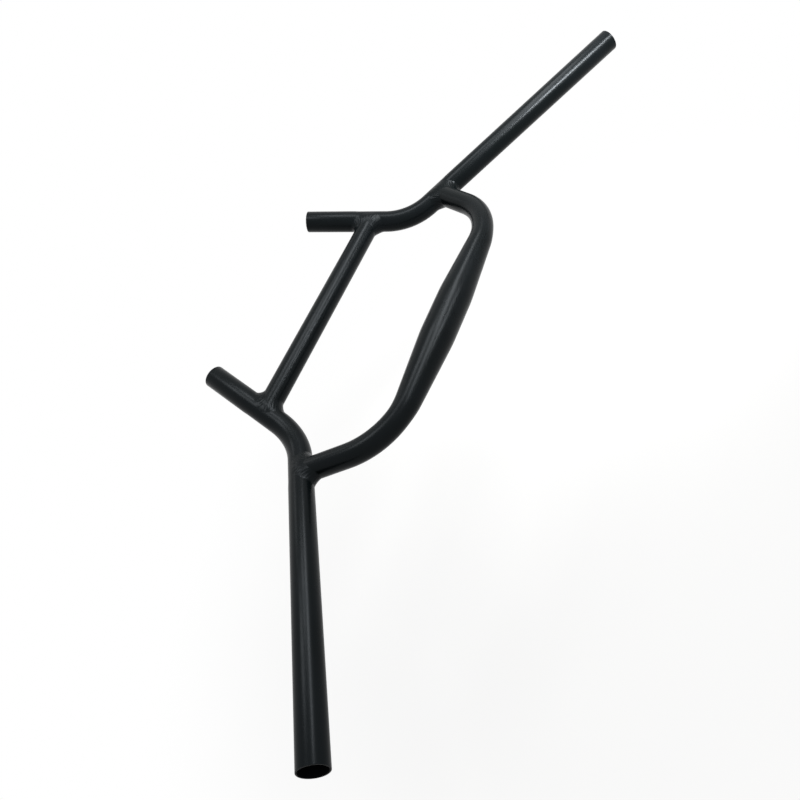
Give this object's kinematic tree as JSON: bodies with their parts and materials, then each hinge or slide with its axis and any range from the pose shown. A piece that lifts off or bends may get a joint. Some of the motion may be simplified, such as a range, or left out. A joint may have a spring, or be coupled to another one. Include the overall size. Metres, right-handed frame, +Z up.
{
  "type": "bicycle handlebar",
  "caption": "Loop handlebar: a bent clamp tube carries swept-back grips that turn up into forward horns, tied by a welded crossbar.",
  "frame": {"origin": "middle of the clamp section, on its centre line", "axes": "+X along the bar to the rider's right, +Y forward, +Z up, with both grips level"},
  "size_m": [0.7494, 0.2767, 0.0889],
  "materials": {
    "black_paint": "satin"
  },
  "bodies": {
    "root": {"clamp_tube": "black_paint", "left_side_tube": "black_paint", "right_side_tube": "black_paint", "crossbar": "black_paint", "left_clamp_weld": "black_paint", "right_clamp_weld": "black_paint", "left_crossbar_weld": "black_paint", "right_crossbar_weld": "black_paint"}
  },
  "joints": []
}
